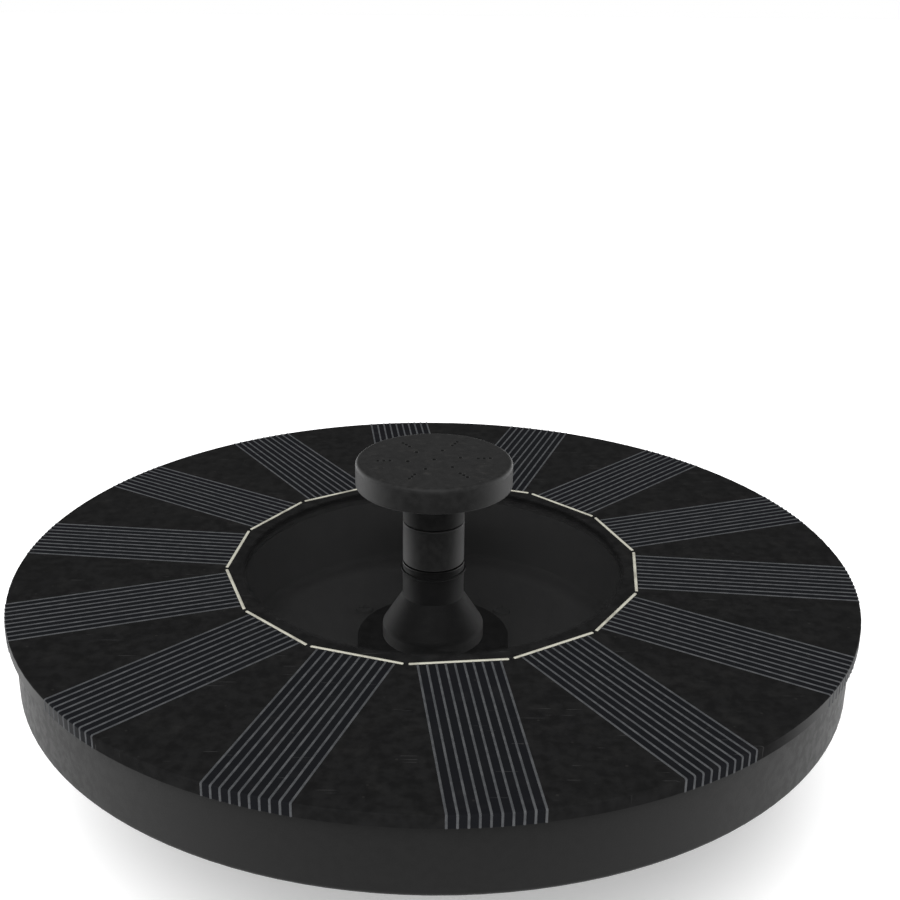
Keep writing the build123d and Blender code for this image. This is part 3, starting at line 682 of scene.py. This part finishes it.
@dataclass(frozen=True)
class Silicon:
    """A monocrystalline cell: blue-black with faint crystal clouds under an anti-glare coat."""

    name: str = "silicon"
    colour: Colour = (0.006, 0.008, 0.02)
    cloud: Colour = (0.012, 0.016, 0.04)
    metallic: float = 0.3
    etch_depth: float = 0.004 * MM

    def material(self) -> bpy.types.Material:
        """Return this finish as a material.

        Returns:
            The material, paler and rougher in its clouds.
        """
        material, graph, shader = open_material(self.name)
        clouds = graph.remap(graph.noise(scale=240.0), low=0.35, high=0.7)
        colour = graph.blend(clouds, self.colour, self.cloud)
        roughness = graph.remap(clouds, 0.0, 1.0, to_low=0.18, to_high=0.3)
        graph.feed(shader, Base_Color=colour, Roughness=roughness, Metallic=self.metallic)
        add_bump(graph, shader, graph.noise(scale=6000.0, detail=2.0), self.etch_depth)
        return material


# Painted light greys that lift the well's floor and wall out of their shade.
PAINTED_WELL_GREYS = {"painted_well_floor": 0.095, "painted_well_wall": 0.128}
# The rim values are greys of painted sheen on upright faces turned away from the view.
FINISHES: dict[str, Finish] = {
    "smoked_panel": SmokedPlate(),
    "grid_print": PrintedLine(),
    "bus_tape": Metal("tinned tape", (0.46, 0.45, 0.38), (0.26, 0.25, 0.21), roughness=0.5, metallic=0.1),
    "cell_silicon": Silicon(),
    "board_black": Moulded("black board", grey(0.008), roughness=0.6, specular=0.1, wear=0.1, **PAINTED_WELL_GREYS),
    "seal_rubber": Moulded("black rubber", grey(0.012), roughness=0.72, grain_depth=0.03 * MM, dust=0.2),
    "float_shell": Moulded(
        "float shell", grey(0.0098), roughness=0.45, specular=0.05, wear=0.2, mottle=0.08, rim=0.033,
        **PAINTED_WELL_GREYS
    ),
    "foam": Foam("float foam", grey(0.72), grey(0.45)),
    "driver_green": Moulded(
        "green solder mask", (0.012, 0.075, 0.03), roughness=0.35, specular=0.5, wear=0.1
    ),
    "chip_epoxy": Moulded("chip epoxy", grey(0.014), roughness=0.6, grain_depth=0.04 * MM),
    "can_metal": Metal("drawn can", grey(0.72), grey(0.5), roughness=0.3),
    "terminal_plastic": Moulded("cream nylon", (0.6, 0.57, 0.48), roughness=0.45, specular=0.5),
    "lead_jacket": Moulded("lead jacket", grey(0.01)),
    "hub_plastic": Moulded(
        "hub plastic", grey(0.004), roughness=0.8, specular=0.02, grain_scale=1500.0, grain_depth=0.06 * MM,
        mottle=0.3, wear=0.0, dust=0.02, **PAINTED_WELL_GREYS
    ),
    "screw_steel": Metal("blackened screw", grey(0.12), grey(0.05), roughness=0.4),
    "pipe_plastic": Moulded("pipe plastic", grey(0.006), roughness=0.45, specular=0.2, wear=0.1, rim=0.5),
    "pump_plastic": Moulded("pump plastic", grey(0.018), specular=0.35),
    "core_steel": Metal(
        "laminations", grey(0.42), grey(0.25), roughness=0.45, stretch=(120.0, 120.0, 40000.0),
        relief=0.05 * MM
    ),
    "coil_copper": Metal("enamelled copper", (0.6, 0.22, 0.07), (0.35, 0.1, 0.03), roughness=0.3),
    "magnet": Moulded("sintered ferrite", grey(0.03), roughness=0.65, specular=0.4, grain_depth=0.05 * MM),
    "impeller_plastic": Moulded(
        "impeller plastic", grey(0.68), roughness=0.4, specular=0.5, wear=0.2, dust=0.05
    ),
    "shaft_ceramic": Moulded("ground ceramic", grey(0.72), roughness=0.25, specular=0.6, wear=0.1),
    "strainer_plastic": Moulded("strainer plastic", grey(0.018), roughness=0.55, specular=0.35, wear=0.5),
    "sponge": Foam("filter sponge", grey(0.045), grey(0.008), pore_scale=1500.0, depth=0.5 * MM),
    "sleeve_plastic": Moulded(
        "sleeve plastic", grey(0.0165), roughness=0.42, specular=0.22, wear=0.2, rim=0.165
    ),
    "nozzle_plastic": Moulded(
        "nozzle plastic", grey(0.0145), roughness=0.45, specular=0.06, wear=0.3, wear_width=0.5 * MM,
        rim=0.12
    ),
}


@dataclass
class Wardrobe:
    """Makes each finish's material once and puts it on pieces; the finishes go by slot name."""

    finishes: dict[str, Finish]
    made: dict[str, bpy.types.Material] = field(default_factory=dict)

    def material(self, slot: str) -> bpy.types.Material:
        """Return the material of a slot, made on first use.

        Args:
            slot: The slot's name in the record.

        Returns:
            The slot's material.
        """
        if slot not in self.made:
            self.made[slot] = self.finishes[slot].material()
        return self.made[slot]

    def dress_node(self, name: str, slot: str) -> None:
        """Give a CAD node a finish.

        Args:
            name: The node's name in the frame.
            slot: The slot whose finish it wears.
        """
        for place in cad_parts[name].material_slots:
            place.material = self.material(slot)

    def dress_piece(self, piece: bpy.types.Object, slot: str, body: str) -> None:
        """Give a new piece its finish and let it ride on a body.

        Args:
            piece: The new piece.
            slot: The slot whose finish it wears.
            body: The body it moves with.
        """
        piece.data.materials.append(self.material(slot))
        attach(piece, body)


WARDROBE = Wardrobe(FINISHES)


# --- Mesh helpers ---


def piece_from(mesh: bmesh.types.BMesh, name: str, smooth_angle: float = 40.0) -> bpy.types.Object:
    """Turn a bmesh into a smooth-shaded piece.

    Args:
        mesh: The mesh, which is freed.
        name: The piece's name.
        smooth_angle: Edges sharper than this many degrees stay sharp.

    Returns:
        The new object.
    """
    bmesh.ops.recalc_face_normals(mesh, faces=mesh.faces)
    data = bpy.data.meshes.new(name)
    mesh.to_mesh(data)
    mesh.free()
    piece = bpy.data.objects.new(name, data)
    bpy.context.scene.collection.objects.link(piece)
    data.shade_smooth()
    data.set_sharp_from_angle(angle=math.radians(smooth_angle))
    return piece


def bridge(mesh: bmesh.types.BMesh, near: Ring, far: Ring) -> None:
    """Join two rings with one band of faces.

    Args:
        mesh: The mesh to add to.
        near: Points of the first ring.
        far: Points of the second ring, as many as in the first.
    """
    for index in range(len(near)):
        after = (index + 1) % len(near)
        mesh.faces.new((near[index], near[after], far[after], far[index]))


def sweep_sections(mesh: bmesh.types.BMesh, sections: Sequence[Sequence[Vector]]) -> None:
    """Skin a run of closed sections and close both ends.

    Args:
        mesh: The mesh to add to.
        sections: Rings of points, all with the same number.
    """
    rings = [[mesh.verts.new(point) for point in section] for section in sections]
    for near, far in zip(rings, rings[1:]):
        bridge(mesh, near, far)
    mesh.faces.new(list(reversed(rings[0])))
    mesh.faces.new(rings[-1])


def sweep_loop(
    mesh: bmesh.types.BMesh, path: Sequence[Vector], normal: Vector, radius: float, turn: Matrix
) -> None:
    """Skin a six-sided wire along a closed flat loop.

    Args:
        mesh: The mesh to add to.
        path: Points round the loop.
        normal: The direction square to the loop's plane.
        radius: The wire's radius.
        turn: Rotation that puts the finished loop in place.
    """
    angles = [math.tau * side / 6 for side in range(6)]
    rings = []
    for index, point in enumerate(path):
        along = (path[(index + 1) % len(path)] - path[index - 1]).normalized()
        out = along.cross(normal)
        spokes = [out * math.cos(angle) + normal * math.sin(angle) for angle in angles]
        rings.append([mesh.verts.new(turn @ (point + spoke * radius)) for spoke in spokes])
    for index, near in enumerate(rings):
        bridge(mesh, near, rings[(index + 1) % len(rings)])


# --- Sub-assemblies ---


@dataclass
class Panel:
    """The printed lines and pale bus bars on top of the smoked cover."""

    body: str = "float"
    bus_apothem: float = 39.05 * MM
    bus_width: float = 0.56 * MM
    bus_height: float = 0.15 * MM
    bus_end_gap: float = 0.9 * MM
    lines_per_cell: int = 10
    line_pitch: float = 1.555 * MM
    line_width: float = 0.39 * MM
    line_height: float = 0.1 * MM
    edge_round: float = 0.25 * MM
    bus_dome_steps: int = 8
    bus_dome_power: float = 0.6
    bus_end_taper: float = 0.55
    line_dome_steps: int = 6
    bend_steps: int = 4

    def build_bus_bars(self) -> bpy.types.Object:
        """Build the domed tinned bars that lie along the sides of the cells' polygon.

        Returns:
            The piece that stands for all the bars.
        """
        low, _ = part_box("bus_bars")
        side = 2 * self.bus_apothem * math.tan(CELL_PITCH / 2)
        half = (side - self.bus_end_gap) / 2
        stations = (-1.0, -0.985, -0.95, -0.6, -0.2, 0.2, 0.6, 0.95, 0.985, 1.0)
        mesh = bmesh.new()
        for turn in cell_turns():
            sections = []
            for station in stations:
                taper = self.bus_end_taper if abs(station) == 1.0 else 1.0
                section = []
                for step in range(self.bus_dome_steps + 1):
                    angle = math.pi * step / self.bus_dome_steps
                    across = self.bus_width / 2 * taper * math.cos(angle)
                    rise = self.bus_height * taper * math.sin(angle) ** self.bus_dome_power
                    point = Vector((self.bus_apothem + across, station * half, low.z + rise))
                    section.append(turn @ point)
                sections.append(section)
            sweep_sections(mesh, sections)
        return piece_from(mesh, "bus_bar_tapes")

    def line_sections(
        self, offset: float, start: float, radius: float, top: float, foot: float
    ) -> list[list[Vector]]:
        """Return the domed sections of one printed line, from its bar over the rim and down.

        Args:
            offset: Sideways distance from the middle of the cell.
            start: Distance of the line's inner end from the axis, along the cell.
            radius: The cover's radius.
            top: Height of the cover's top face.
            foot: Height at which the line ends on the rim.

        Returns:
            Sections along the line, for a cell that points along +X.
        """
        bend = self.edge_round
        edge = math.sqrt((radius - bend) ** 2 - offset**2)
        outward = Vector((edge, offset, 0.0)).normalized()
        along, upward = Vector((1.0, 0.0, 0.0)), Vector((0.0, 0.0, 1.0))
        stops = []
        for share, swell in ((0.0, 0.5), (0.01, 1.0), (0.34, 1.0), (0.67, 1.0), (1.0, 1.0)):
            stops.append((Vector((start + (edge - start) * share, offset, top)), upward, swell))
        centre = Vector((edge, offset, top - bend))
        for step in range(1, self.bend_steps + 1):
            angle = math.pi / 2 * step / self.bend_steps
            normal = outward * math.sin(angle) + upward * math.cos(angle)
            stops.append((centre + normal * bend, normal, 1.0))
        stops.append((stops[-1][0] - upward * (top - bend - foot), outward, 1.0))
        sections = []
        for point, normal, swell in stops:
            sideways = normal.cross(along if normal.z > 0.5 else -upward).normalized()
            section = []
            for step in range(self.line_dome_steps + 1):
                angle = math.pi * step / self.line_dome_steps
                reach = sideways * math.cos(angle) * self.line_width / 2
                section.append(point + reach + normal * math.sin(angle) * self.line_height * swell)
            sections.append(section)
        return sections

    def build_lines(self) -> bpy.types.Object:
        """Build the fine domed lines printed over every cell.

        Returns:
            The piece that stands for all the lines.
        """
        low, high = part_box("top_cover")
        radius = (high.x - low.x) / 2
        start = self.bus_apothem + self.bus_width / 2
        mesh = bmesh.new()
        for turn in cell_turns():
            for line in range(self.lines_per_cell):
                offset = (line - (self.lines_per_cell - 1) / 2) * self.line_pitch
                sections = self.line_sections(offset, start, radius, high.z, low.z)
                sweep_sections(mesh, [[turn @ point for point in section] for section in sections])
        return piece_from(mesh, "printed_lines", 50.0)

    def build(self) -> None:
        """Build and dress the lines and the bars."""
        lines = self.build_lines()
        WARDROBE.dress_piece(lines, "grid_print", self.body)
        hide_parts("finger_lines")
        bars = self.build_bus_bars()
        WARDROBE.dress_piece(bars, "bus_tape", self.body)
        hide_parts("bus_bars")
        LOG.info("panel: lines and bars of %d cells", CELL_COUNT)


@dataclass
class Coils:
    """The six wound coils of the stator, wire by wire."""

    body: str = "float"
    teeth: int = 6
    ring_radius: float = 10.4 * MM
    wire_radius: float = 0.18 * MM
    turns_deep: int = 4
    layers: int = 3
    tooth_half_width: float = 1.22 * MM
    corner_steps: int = 5
    row_pitch: float = 2.1

    def loop_path(self, depth: float, layer: int, middle: float, half_height: float) -> list[Vector]:
        """Return the points of one turn of wire round a tooth on the +X axis.

        Args:
            depth: Radius at which the turn lies.
            layer: 0 for the turn against the tooth.
            middle: Height of the tooth's middle.
            half_height: Half the tooth's height.

        Returns:
            Points round the turn, in order.
        """
        reach = self.wire_radius * (1 + 2 * layer)
        corners = ((1, 1, 0.0), (-1, 1, 0.25), (-1, -1, 0.5), (1, -1, 0.75))
        points = []
        for side, end, quarter in corners:
            for step in range(self.corner_steps):
                angle = math.tau * (quarter + 0.25 * step / (self.corner_steps - 1))
                across = side * self.tooth_half_width + reach * math.cos(angle)
                points.append(Vector((depth, across, middle + end * half_height + reach * math.sin(angle))))
        return points

    def build(self) -> None:
        """Build and dress the coils."""
        low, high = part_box("stator_core")
        middle, half_height = (low.z + high.z) / 2, (high.z - low.z) / 2
        outward = Vector((1.0, 0.0, 0.0))
        mesh = bmesh.new()
        for tooth in range(self.teeth):
            turn = Matrix.Rotation(math.tau * tooth / self.teeth, 3, "Z")
            for layer in range(self.layers):
                for row in range(self.turns_deep):
                    rows_out = row - (self.turns_deep - 1) / 2
                    depth = self.ring_radius + rows_out * self.wire_radius * self.row_pitch
                    path = self.loop_path(depth, layer, middle, half_height)
                    sweep_loop(mesh, path, outward, self.wire_radius, turn)
        piece = piece_from(mesh, "wound_coils", 60.0)
        WARDROBE.dress_piece(piece, "coil_copper", self.body)
        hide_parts("stator_coils")
        LOG.info("motor: %d coils of %d turns", self.teeth, self.layers * self.turns_deep)


@dataclass
class Sponge:
    """The open-cell filter sponge, pitted all over."""

    body: str = "strainer"
    segments: int = 168
    rings: int = 26
    side_rows: int = 6
    pit_depth: float = 0.4 * MM
    pit_scale: float = 900.0
    fine_scale: float = 2.3
    fine_share: float = 0.5
    edge_round: float = 0.35 * MM
    middle_dip: float = 0.1

    def pitted(self, point: Vector, inward: Vector) -> Vector:
        """Return a surface point pushed inward by its pit.

        Args:
            point: A point on the smooth surface.
            inward: The direction into the sponge.

        Returns:
            The moved point.
        """
        coarse = max(0.0, noise.noise(point * self.pit_scale))
        fine = max(0.0, noise.noise(point * self.pit_scale * self.fine_scale))
        return point + inward * min(coarse + self.fine_share * fine, 1.0) * self.pit_depth

    def profile(self, low: Vector, high: Vector) -> list[tuple[float, float, Vector | None]]:
        """Return the sponge's outline from the middle of its top to the middle of its foot.

        Args:
            low: Lowest corner of the sponge's box.
            high: Highest corner of the box.

        Returns:
            Radius, height and inward direction of each row; None means towards the axis.
        """
        radius = (high.x - low.x) / 2
        down, up = Vector((0, 0, -1)), Vector((0, 0, 1))
        outline = [(radius * ring / self.rings, high.z, down) for ring in range(1, self.rings)]
        for row in range(self.side_rows + 1):
            height = high.z + (low.z - high.z) * row / self.side_rows
            shrink = self.edge_round if row in (0, self.side_rows) else 0.0
            outline.append((radius - shrink, height, None))
        outline += [(radius * ring / self.rings, low.z, up) for ring in range(self.rings - 1, 0, -1)]
        return outline

    def build(self) -> None:
        """Build and dress the sponge."""
        low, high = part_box("filter_sponge")
        middle = (high.z + low.z) / 2
        mesh = bmesh.new()
        rows = []
        for reach, height, inward in self.profile(low, high):
            row = []
            for segment in range(self.segments):
                angle = math.tau * segment / self.segments
                out = Vector((math.cos(angle), math.sin(angle), 0.0))
                point = out * reach + Vector((0, 0, height))
                row.append(mesh.verts.new(self.pitted(point, -out if inward is None else inward)))
            rows.append(row)
        for near, far in zip(rows, rows[1:]):
            bridge(mesh, near, far)
        for row, height in ((rows[0], high.z), (rows[-1], low.z)):
            hub = mesh.verts.new((0.0, 0.0, height + (middle - height) * self.middle_dip))
            for index in range(self.segments):
                mesh.faces.new((hub, row[index], row[(index + 1) % self.segments]))
        piece = piece_from(mesh, "pitted_sponge", 180.0)
        WARDROBE.dress_piece(piece, "sponge", self.body)
        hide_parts("filter_sponge")
        LOG.info("strainer: sponge of %d rows", len(rows))


@dataclass
class DressedGroup:
    """A sub-assembly whose CAD shapes are right and only need their finishes."""

    title: str
    slots: dict[str, str]

    def build(self) -> None:
        """Dress every node of the group."""
        for node, slot in self.slots.items():
            WARDROBE.dress_node(node, slot)
            LOG.info("%s: %s in %s", self.title, node, slot)


PANEL_GROUP = DressedGroup("panel", {
    "top_cover": "smoked_panel",
    "panel_board": "board_black",
    "panel_gasket": "seal_rubber",
    **{f"solar_cell_{number:02d}": "cell_silicon" for number in range(1, CELL_COUNT + 1)},
})
FLOAT_GROUP = DressedGroup("float", {
    "float_tray": "float_shell",
    "float_foam": "foam",
    "driver_board": "driver_green",
    "driver_chip": "chip_epoxy",
    "smoothing_capacitor": "can_metal",
    "lead_terminal": "terminal_plastic",
    "pump_lead": "lead_jacket",
    "lead_grommet": "seal_rubber",
    "lead_gland": "seal_rubber",
})
HUB_GROUP = DressedGroup("hub", {
    "pump_hub": "hub_plastic",
    "hub_seal": "seal_rubber",
    "hub_screws": "screw_steel",
    "housing_screws": "hub_plastic",
    "outlet_pipe": "pipe_plastic",
    "riser_seal": "pipe_plastic",
})
MOTOR_GROUP = DressedGroup("motor", {
    "pump_housing": "pump_plastic",
    "housing_seal": "seal_rubber",
    "stator_core": "core_steel",
    "potting_layer": "chip_epoxy",
    "rotor_can": "pump_plastic",
    "volute_cover": "pump_plastic",
    "volute_screws": "screw_steel",
    "shaft": "shaft_ceramic",
    "upper_shaft_seat": "seal_rubber",
    "lower_shaft_seat": "seal_rubber",
})
ROTOR_GROUP = DressedGroup("rotor", {"impeller": "impeller_plastic", "rotor_magnet": "magnet"})
STRAINER_GROUP = DressedGroup("strainer", {
    "strainer_cover": "strainer_plastic",
    "rubber_feet": "seal_rubber",
})
NOZZLE_GROUP = DressedGroup("nozzle", {
    "riser_sleeve": "sleeve_plastic",
    "riser_ring": "seal_rubber",
    "nozzle_ring": "seal_rubber",
    "nozzle_base": "nozzle_plastic",
    "spray_cap": "nozzle_plastic",
})
GROUPS = (PANEL_GROUP, FLOAT_GROUP, HUB_GROUP, MOTOR_GROUP, ROTOR_GROUP, STRAINER_GROUP, NOZZLE_GROUP)


# --- Studio ---


@dataclass
class Studio:
    """Pale floor, soft surround, one key light, and the camera, placed from the panel's size.

    The camera's distance is in panel radii and its rise is the angle it is seen at from the panel's
    middle; pitch is how far it looks down and roll how far it leans.
    """

    camera_distance: float = 3.1251
    camera_rise: float = math.radians(25.839)
    pitch: float = math.radians(20.904)
    roll: float = 0.0079
    lens: float = 50.93
    shift: float = 0.01737
    floor_half: float = 4.0
    floor_colour: Colour = (0.93, 0.93, 0.93)
    dim_sky: float = 0.22
    bright_sky: float = 1.2
    key_power: float = 3.0
    key_spread: float = math.radians(50)
    key_lean: float = math.radians(28)
    key_turn: float = math.radians(-12)
    floor_glow: float = 0.25
    sensor: float = 36.0
    clip: tuple[float, float] = (0.01, 20.0)

    def place_camera(self, centre: Vector, radius: float) -> None:
        """Place the camera round the middle of the panel.

        Args:
            centre: Middle of the panel's top face.
            radius: The panel's radius.
        """
        data = bpy.data.cameras.new("camera")
        data.lens = self.lens
        data.sensor_width = self.sensor
        data.shift_x = self.shift
        data.clip_start, data.clip_end = self.clip
        forward = Vector((0.0, math.cos(self.pitch), -math.sin(self.pitch)))
        upright = Vector((0.0, math.sin(self.pitch), math.cos(self.pitch)))
        level = Vector((1.0, 0.0, 0.0))
        right = level * math.cos(self.roll) + upright * math.sin(self.roll)
        up = upright * math.cos(self.roll) - level * math.sin(self.roll)
        away = Vector((0.0, -math.cos(self.camera_rise), math.sin(self.camera_rise)))
        pose = Matrix((right, up, -forward)).transposed().to_4x4()
        pose.translation = centre + away * radius * self.camera_distance
        camera = bpy.data.objects.new("camera", data)
        camera.matrix_world = pose
        bpy.context.scene.collection.objects.link(camera)
        bpy.context.scene.camera = camera

    def lay_floor(self) -> None:
        """Lay a wide pale floor with a faint unevenness, clear when seen from below."""
        mesh = bmesh.new()
        bmesh.ops.create_grid(mesh, x_segments=8, y_segments=8, size=self.floor_half)
        floor = piece_from(mesh, "studio_floor")
        material, graph, shader = open_material("pale floor")
        tone = graph.remap(graph.noise(scale=3.0, detail=2.0), low=0.2, high=0.8)
        colour = graph.blend(tone, scaled(self.floor_colour, 0.985), self.floor_colour)
        graph.feed(shader, Base_Color=colour, Roughness=0.9, Specular_IOR_Level=0.1)
        graph.feed(shader, Emission_Color=(1.0, 1.0, 1.0, 1.0), Emission_Strength=self.floor_glow)
        behind = graph.add("NewGeometry").outputs["Backfacing"]
        graph.feed(shader, Alpha=graph.math("SUBTRACT", 1.0, behind))
        floor.data.materials.append(material)

    def paint_sky(self) -> None:
        """Surround the set with soft light, strongest from the sides and front, white to the camera."""
        world = bpy.data.worlds.new("studio")
        world.use_nodes = True
        graph = Graph(world.node_tree)
        backdrop = world.node_tree.nodes["Background"]
        across, ahead, _ = graph.split(graph.add("TexCoord").outputs["Generated"])
        side = graph.remap(graph.math("ABSOLUTE", across), low=0.35, high=1.0)
        front = graph.remap(ahead, low=0.2, high=-0.9, to_high=0.6)
        sky = graph.remap(graph.math("MAXIMUM", side, front), 0.0, 1.0, self.dim_sky, self.bright_sky)
        seen = graph.add("LightPath").outputs["Is Camera Ray"]
        graph.feed(backdrop, Color=graph.math("MAXIMUM", seen, sky))
        bpy.context.scene.world = world

    def light(self) -> None:
        """Light the set with the soft surround and one broad overhead key."""
        self.paint_sky()
        data = bpy.data.lights.new("key", "SUN")
        data.energy = self.key_power
        data.angle = self.key_spread
        key = bpy.data.objects.new("key", data)
        key.rotation_euler = (self.key_lean, 0.0, self.key_turn)
        bpy.context.scene.collection.objects.link(key)

    def build(self) -> None:
        """Set up the floor, the lights and the camera."""
        low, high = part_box("top_cover")
        radius = (high.x - low.x) / 2
        centre = Vector(((low.x + high.x) / 2, (low.y + high.y) / 2, high.z))
        self.place_camera(centre, radius)
        self.lay_floor()
        self.light()
        bpy.context.scene.view_settings.view_transform = "Standard"
        LOG.info("studio: camera, floor, soft surround and key")


def main() -> None:
    """Build every sub-assembly in order and the studio around them."""
    logging.basicConfig(level=logging.INFO, format="%(name)s: %(message)s")
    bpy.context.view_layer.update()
    Studio().build()
    Panel().build()
    Coils().build()
    Sponge().build()
    for group in GROUPS:
        group.build()


if __name__ == "__main__":
    main()
